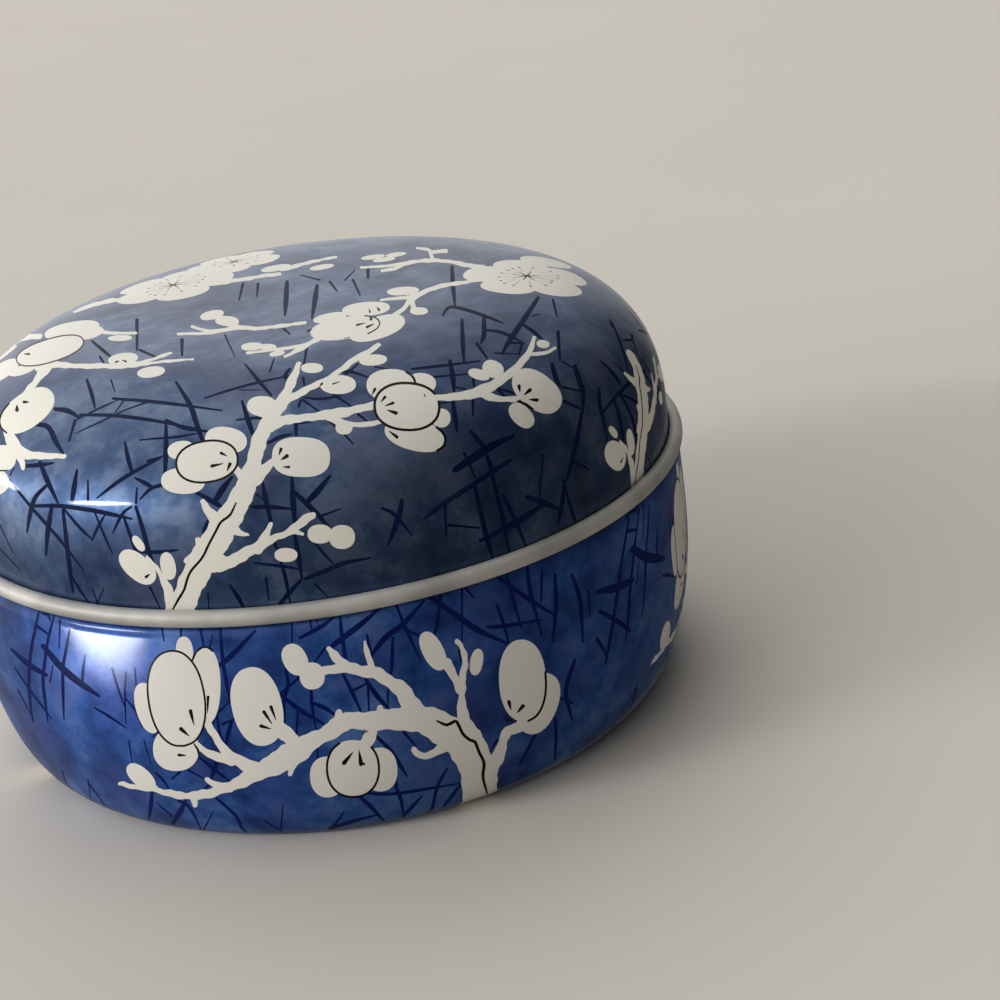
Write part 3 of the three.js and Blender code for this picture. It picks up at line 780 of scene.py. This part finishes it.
def printed_face(name, sheet_print, gap):
    """A mesh of the printed outer face, its colours in the face attribute print."""
    sheet = sheet_print.sheet
    points = disc_points(sheet, gap)
    rim = list(range(len(points) - ROUND, len(points)))
    edges = list(zip(rim, rim[1:] + rim[:1]))
    stacks = [points]
    total = len(points)
    for _, flat, _ in sheet_print.shapes:
        order = np.arange(total, total + len(flat))
        edges += list(zip(order.tolist(), np.roll(order, -1).tolist()))
        stacks.append(flat)
        total += len(flat)
    flat_points = [Vector(p) for p in np.concatenate(stacks).tolist()]
    made, _, faces, *_ = delaunay_2d_cdt(flat_points, edges, [], 0, CUT_MERGE)
    flat = np.array([tuple(p) for p in made])
    faces = np.array(faces)
    middle = flat[faces].mean(1)
    label = np.zeros(len(faces), int)
    for colour, outline, _ in sheet_print.shapes:
        low, high = outline.min(0), outline.max(0)
        near = np.nonzero(((middle >= low) & (middle <= high)).all(1))[0]
        label[near[winding(middle[near], outline) != 0]] = colour
    places, normals = sheet.lift(flat)
    mesh = bpy.data.meshes.new(name)
    if not sheet.upward:
        faces = faces[:, ::-1]
    mesh.from_pydata((places * MM).tolist(), [], faces.tolist())
    colours = np.zeros((len(faces), 3, 4))
    colours[..., 3] = 1
    for channel, colour in enumerate((ICE, WHITE, INK)):
        colours[label == colour, :, channel] = 1
    layer = mesh.color_attributes.new("print", "FLOAT_COLOR", "CORNER")
    layer.data.foreach_set("color", colours.ravel())
    piece = bpy.data.objects.new(name, mesh)
    bpy.context.collection.objects.link(piece)
    print(name, "triangles", len(faces), "of them printed", int((label > 0).sum()))
    return piece


lid_face = printed_face("lid_face", lid_print, POINT_GAP)
body_face = printed_face("body_face", body_print, POINT_GAP)

# %% [markdown]
# ## The bare metal
# The rolled edge and the inside are turned shapes, so they are spun like a potter's profile: one
# point is extruded along the outline, and the line is spun about the axis. The first ring matches
# the printed face's last one, and merging the two closes the metal.

# %% Spin an outline
SPIN_MERGE = 1e-6
INSIDE_GAP = 1.1
LID_ROLL_TURN = 306
NECK_ROLL_TURN = 290


def deselect():
    if bpy.context.object and bpy.context.object.mode != "OBJECT":
        bpy.ops.object.mode_set(mode="OBJECT")
    bpy.ops.object.select_all(action="DESELECT")


def spun(name, outline):
    """An outline of (radius, height) points in millimetres, spun once round the axis."""
    deselect()
    bpy.ops.mesh.primitive_plane_add(size=MM)
    piece = bpy.context.object
    piece.name = name
    bpy.ops.object.mode_set(mode="EDIT")
    bpy.ops.mesh.merge(type="CENTER")
    first = Vector((outline[0][0] * MM, 0, outline[0][1] * MM))
    bpy.ops.transform.translate(value=first)
    for here, there in zip(outline, outline[1:]):
        step = Vector(((there[0] - here[0]) * MM, 0, (there[1] - here[1]) * MM))
        bpy.ops.mesh.extrude_vertices_move(TRANSFORM_OT_translate={"value": step})
    bpy.ops.mesh.select_all(action="SELECT")
    bpy.ops.mesh.spin(steps=ROUND, angle=2 * math.pi, center=(0, 0, 0), axis=(0, 0, 1))
    bpy.ops.mesh.select_all(action="SELECT")
    bpy.ops.mesh.remove_doubles(threshold=SPIN_MERGE)
    bpy.ops.object.mode_set(mode="OBJECT")
    print(name, "spun from", len(outline), "points into", len(piece.data.polygons), "faces")
    return piece


def thinned(line, gap):
    """The same line with fewer points, never closer than a gap, ends kept."""
    kept = [line[0]]
    for point in line[1:-1]:
        if np.linalg.norm(point - kept[-1]) >= gap:
            kept.append(point)
    return np.array(kept + [line[-1]])


roll_centre = RIM_RADIUS - ROLL_RADIUS
lid_inside = inward(lid_outline, SHEET)
lid_inside[0] = (0, TIN_HEIGHT - SHEET)
lid_metal_line = np.concatenate([
    lid_outline[-1:],
    arc(roll_centre, RIM_HEIGHT, ROLL_RADIUS - SHEET, 180, 180 + LID_ROLL_TURN, 26),
    arc(roll_centre, RIM_HEIGHT, ROLL_RADIUS, 180 + LID_ROLL_TURN, 180, 30),
    thinned(lid_inside[::-1], INSIDE_GAP)])

neck_inner = NECK_RADIUS - SHEET
neck_centre = NECK_RADIUS - NECK_ROLL
neck_middle = NECK_TOP - NECK_ROLL
body_inside = inward(body_outline, -SHEET)
body_inside[0] = (0, PANEL_RISE + SHEET)
ledge_inner = body_inside[body_inside[:, 1] < LEDGE_HEIGHT - SHEET - 0.05]
body_metal_line = np.concatenate([
    body_outline[-1:],
    [[NECK_RADIUS + NECK_FOOT, LEDGE_HEIGHT + RIM_GAP]],
    arc(NECK_RADIUS + NECK_FOOT, LEDGE_HEIGHT + RIM_GAP + NECK_FOOT, NECK_FOOT, 260, 180, 4),
    arc(neck_centre, neck_middle, NECK_ROLL, 0, NECK_ROLL_TURN, 26),
    arc(neck_centre, neck_middle, NECK_ROLL - SHEET, NECK_ROLL_TURN, 0, 22),
    [[neck_inner, LEDGE_HEIGHT - 0.1]],
    thinned(ledge_inner[::-1], INSIDE_GAP)])
lid_metal = spun("lid_metal", lid_metal_line)
body_metal = spun("body_metal", body_metal_line)

# %% [markdown]
# ## Finishes
# Shader maths reads best as sums, so a small class wraps a socket and lets Python's operators add
# the nodes. Any other node comes from one method.


# %% Socket maths
class Wire:
    """One output socket of a material, with Python's operators as Math nodes."""

    def __init__(self, tree, socket):
        self.tree = tree
        self.socket = socket

    def node(self, kind, settings=None, inputs=None, output=0):
        made = self.tree.nodes.new(kind)
        for name, value in (settings or {}).items():
            if name == "stops":
                for index, (place, colour) in enumerate(value):
                    spot = made.color_ramp.elements
                    stop = spot[index] if index < len(spot) else spot.new(place)
                    stop.position = place
                    stop.color = (*colour, 1)
            else:
                setattr(made, name, value)
        for name, value in (inputs or {}).items():
            if isinstance(value, Wire):
                self.tree.links.new(value.socket, made.inputs[name])
            else:
                made.inputs[name].default_value = value
        return Wire(self.tree, made.outputs[output])

    def math(self, operation, *values):
        return self.node("ShaderNodeMath", {"operation": operation}, dict(enumerate((self, *values))))

    def vector(self, operation, *values, output=0):
        settings = {"operation": operation}
        return self.node("ShaderNodeVectorMath", settings, dict(enumerate((self, *values))), output)

    def noise(self, scale, detail, **more):
        """Soft noise, 0 to 1, over these coordinates."""
        return self.node("ShaderNodeTexNoise",
                         inputs={"Vector": self, "Scale": scale, "Detail": detail, **more})

    def __add__(self, other):
        return self.math("ADD", other)

    def __mul__(self, other):
        return self.math("MULTIPLY", other)

    def __sub__(self, other):
        return self.math("SUBTRACT", other)

    def __rsub__(self, other):
        return self.math("MULTIPLY_ADD", -1.0, other)

    __radd__ = __add__
    __rmul__ = __mul__

    def between(self, low, high):
        """0 below low, 1 above high, and soft between them."""
        return self.node("ShaderNodeMapRange", {"interpolation_type": "SMOOTHSTEP"},
                         {"Value": self, "From Min": low, "From Max": high})

    def mix(self, under, over, blend="MIX"):
        """A colour between two, with this value as the share of the second."""
        return self.node("ShaderNodeMix", {"data_type": "RGBA", "blend_type": blend},
                         {0: self, 6: under, 7: over}, 2)


def rgb(red, green, blue):
    """A colour as seen on a screen, 0 to 255, as the linear colour that a shader wants."""
    parts = (red, green, blue)
    return (*(c / 255 / 12.92 if c < 11 else ((c / 255 + 0.055) / 1.055) ** 2.4 for c in parts), 1.0)


def finish(name):
    """A new material with its Principled shader, and a wire to its object coordinates."""
    material = bpy.data.materials.new(name)
    material.use_nodes = True
    tree = material.node_tree
    shader = tree.nodes["Principled BSDF"]
    start = Wire(tree, None)
    return material, shader, start.node("ShaderNodeTexCoord", output=3)


def link(wire, shader, name):
    wire.tree.links.new(wire.socket, shader.inputs[name])


print("finishes ready to mix")

# %% [markdown]
# ## Printed lacquer
# The ground is a thin blue wash over bright tinplate, mottled in two sizes of blotch, so it shines
# softly like tinted metal. The strokes of ice are thick dark ink, and the white is opaque, so they
# don't. A clear coat covers it all, thinner over the ice. Drawing the metal leaves faint upright
# lines in the walls.


# %% Print materials
def print_finish(name, blues, dusk, ice_colour, white_colour, shine, coat, gloss):
    """Lacquered print: the ground's three blues from deep to pale, and the dusky tone over it."""
    material, shader, place = finish(name)
    layers = place.node("ShaderNodeAttribute", {"attribute_name": "print"})
    masks = place.node("ShaderNodeSeparateColor", inputs={0: layers})
    ice = masks
    white = Wire(masks.tree, masks.socket.node.outputs[1])
    ink = Wire(masks.tree, masks.socket.node.outputs[2])
    blotch = place.noise(75.0, 3.0, Distortion=0.6)
    patch = place.noise(260.0, 5.0, Roughness=0.65)
    grain = place.noise(1500.0, 2.0)
    wash = blotch.between(0.32, 0.68) * 0.5 + patch.between(0.34, 0.68) * 0.38 + grain * 0.12
    stops = [(at, rgb(*blue)[:3]) for at, blue in zip((0.0, 0.5, 1.0), blues)]
    ground = wash.node("ShaderNodeValToRGB", {"stops": stops}, {0: wash})
    cast = place.noise(130.0, 3.0)
    ground = (cast.between(0.46, 0.68) * 0.5).mix(ground, rgb(*dusk))
    strength = patch.between(0.2, 0.75) * 0.1 + 0.89
    inked_ice = (ice * strength).mix(ground, rgb(*ice_colour))
    shade = blotch.between(0.25, 0.8) * 0.06
    clean = rgb(*white_colour)
    warm_white = shade.mix(clean, (*(0.86 * c for c in clean[:3]), 1.0))
    painted = white.mix(inked_ice, warm_white)
    link(ink.mix(painted, rgb(18, 14, 15)), shader, "Base Color")
    covered = ice.math("MAXIMUM", white).math("MAXIMUM", ink)
    link((1 - covered) * shine, shader, "Metallic")
    link(grain * 0.14 + 0.34, shader, "Roughness")
    shader.inputs["Specular IOR Level"].default_value = 0.0
    link((1 - ice * 0.45) * coat, shader, "Coat Weight")
    shader.inputs["Coat Roughness"].default_value = gloss
    shader.inputs["Coat IOR"].default_value = 1.5
    ray = place.vector("MULTIPLY", (1.0, 1.0, 0.0)).vector("NORMALIZE")
    draw_lines = place.vector("MULTIPLY_ADD", (0.0, 0.0, 60.0), ray).noise(46.0, 2.0)
    peel = place.noise(420.0, 1.0)
    bump = place.node("ShaderNodeBump", inputs={"Strength": 0.16, "Distance": 0.00006,
                                                "Height": draw_lines * 0.6 + peel * 0.5})
    link(bump, shader, "Normal")
    return material


lid_finish = print_finish("lid_lacquer", ((32, 53, 92), (73, 96, 135), (128, 148, 177)), (92, 98, 128),
                          (0, 13, 52), (234, 231, 220), shine=0.8, coat=0.45, gloss=0.07)
body_finish = print_finish("body_lacquer", ((10, 36, 94), (44, 84, 156), (94, 130, 188)), (58, 64, 128),
                           (0, 14, 80), (234, 231, 223), shine=0.3, coat=0.8, gloss=0.17)


def tinplate_finish(name):
    material, shader, place = finish(name)
    haze = place.noise(120.0, 4.0)
    rub = place.noise(900.0, 3.0)
    colour = haze.between(0.3, 0.7).mix(rgb(178, 176, 170), rgb(208, 206, 199))
    link(colour, shader, "Base Color")
    shader.inputs["Metallic"].default_value = 0.35
    link(haze * 0.15 + rub * 0.12 + 0.4, shader, "Roughness")
    bump = place.node("ShaderNodeBump", inputs={"Strength": 0.25, "Distance": 0.00005, "Height": rub})
    link(bump, shader, "Normal")
    return material


tinplate = tinplate_finish("bare_tinplate")
print("finishes:", lid_finish.name, body_finish.name, tinplate.name)

# %% [markdown]
# ## Closing each cup
# The printed face and the bare metal of a cup are joined and their touching rings merged, so each
# cup is one closed sheet of metal, as the real one is. The print keeps its own finish and its true
# normals, and the rest is shaded smooth.

# %% Join the print and the metal
JOIN_MERGE = 2e-6
BATCH = 4000


def closed_cup(name, face, metal, sheet, print_material):
    deselect()
    for part in (face, metal):
        part.data.materials.append(print_material)
        part.data.materials.append(tinplate)
        part.select_set(True)
    metal.data.polygons.foreach_set("material_index", [1] * len(metal.data.polygons))
    bpy.context.view_layer.objects.active = face
    bpy.ops.object.join()
    piece = bpy.context.object
    piece.name = name
    piece.data.name = name
    bpy.ops.object.mode_set(mode="EDIT")
    bpy.ops.mesh.select_all(action="SELECT")
    bpy.ops.mesh.remove_doubles(threshold=JOIN_MERGE)
    bpy.ops.mesh.normals_make_consistent(inside=False)
    bpy.ops.object.mode_set(mode="OBJECT")
    bpy.ops.object.shade_smooth()
    mesh = piece.data
    places = np.empty(len(mesh.vertices) * 3)
    mesh.vertices.foreach_get("co", places)
    places = places.reshape(-1, 3) / MM
    normals = np.zeros((len(places), 3))
    printed = np.zeros(len(places), bool)
    for polygon in mesh.polygons:
        if polygon.material_index == 0:
            printed[list(polygon.vertices)] = True
    radius = np.hypot(places[:, 0], places[:, 1])
    spots = np.stack([radius, places[:, 2]], 1)
    chosen = np.nonzero(printed)[0]
    for start in range(0, len(chosen), BATCH):
        part = chosen[start:start + BATCH]
        low, high, share = sheet.nearest(spots[part])
        share = share[:, None]
        facing = sheet.facing[low] * (1 - share) + sheet.facing[high] * share
        safe = np.maximum(radius[part], 1e-9)[:, None]
        normals[part, :2] = facing[:, :1] * places[part, :2] / safe
        normals[part, 2] = facing[:, 1]
    mesh.normals_split_custom_set_from_vertices(normals.tolist())
    print(name, "closed with", len(mesh.polygons), "faces")
    return piece


lid = closed_cup("domed_lid", lid_face, lid_metal, lid_sheet, lid_finish)
body = closed_cup("bulging_body", body_face, body_metal, body_sheet, body_finish)
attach(lid, "root")
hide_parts("tin_lid")
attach(body, "root")
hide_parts("tin_body")

# %% [markdown]
# ## Table and light
# A plain pale table, and two low windows at the left that the lacquer mirrors, the farther one only
# in the lid. Daylight from the left and a broad ceiling light are only seen by matt surfaces. The
# room is bright behind the tin and to its left, and dim in front, which greys the lid's top and
# leaves its front deep blue. The lacquer doesn't mirror the table, and a small bright patch beside
# the tin stands for a sunlit spot that the body mirrors.

# %% Stage
TIN_MIDDLE = Vector((0, 0, 0.03))
GLOW_PLACE = (-0.0874, -0.0525, 0.0045)
GLOW_AWAY = (-0.06, -0.024, -0.023)
BRIGHT_SIDE = (-0.75, 0.3, 0.3)


def plain(name, colour, roughness):
    material, shader, place = finish(name)
    link(place.noise(9.0, 3.0).mix(rgb(*colour), rgb(*(c - 8 for c in colour))), shader, "Base Color")
    shader.inputs["Roughness"].default_value = roughness
    shader.inputs["Specular IOR Level"].default_value = 0.0
    return material


bpy.ops.mesh.primitive_plane_add(size=20.0)
table = bpy.context.object
table.name = "table"
table.data.materials.append(plain("pale_table", (220, 214, 205), 0.8))
table.visible_glossy = False


def soft_light(name, turn, height, distance, size, power, lean=0, glossy=True):
    """A soft box aimed at the tin, at a turn from straight behind it and a height in degrees."""
    turn, height = math.radians(turn), math.radians(height)
    away = Vector((math.sin(turn) * math.cos(height), math.cos(turn) * math.cos(height), math.sin(height)))
    bpy.ops.object.light_add(type="AREA", location=distance * away + TIN_MIDDLE)
    light = bpy.context.object
    light.name = name
    light.data.shape = "ELLIPSE"
    light.data.size, light.data.size_y = size
    light.data.energy = power
    light.visible_glossy = glossy
    light.visible_camera = False
    facing = away.to_track_quat("Z", "Y").to_matrix() @ Matrix.Rotation(math.radians(lean), 3, "Z")
    light.rotation_euler = facing.to_euler()
    return light


soft_light("window", -105, 23, 3.0, (1.2, 0.17), 24.0, lean=26)
far_window = soft_light("far_window", -66, 10, 3.0, (0.8, 0.17), 11.0, lean=10)
soft_light("daylight", -120, 25, 3.0, (2.2, 2.2), 19.0, glossy=False)
soft_light("ceiling", 0, 50, 1.6, (1.4, 1.4), 6.2, glossy=False)
glow = soft_light("bright_patch", -121, 0, 0.1, (0.042, 0.0145), 0.04)
glow.location = GLOW_PLACE
glow.rotation_euler = Vector(GLOW_AWAY).to_track_quat("Z", "Y").to_euler()
glow.visible_diffuse = False
for light, piece in ((glow, body), (far_window, lid)):
    receivers = bpy.data.collections.new("lit_by_" + light.name)
    receivers.objects.link(piece)
    light.light_linking.receiver_collection = receivers
world = bpy.data.worlds.new("room")
world.use_nodes = True
sky = Wire(world.node_tree, None)
aim = sky.node("ShaderNodeTexCoord", output=0)
side = aim.vector("DOT_PRODUCT", BRIGHT_SIDE, output=1)
rise = aim.node("ShaderNodeSeparateXYZ", inputs={0: aim}, output=2)
back = aim.node("ShaderNodeSeparateXYZ", inputs={0: aim}, output=1)
brightness = side.between(-0.45, 0.8) * 0.8 + back.between(0.8, 1.0) * 0.3
room = world.node_tree.nodes["Background"]
link(brightness * (rise.between(-0.42, -0.2) * 0.75 + 0.25) + 0.04, room, "Strength")
room.inputs["Color"].default_value = (1.0, 0.99, 0.97, 1)
bpy.context.scene.world = world
bpy.context.scene.view_settings.view_transform = "Standard"
print("stage set")
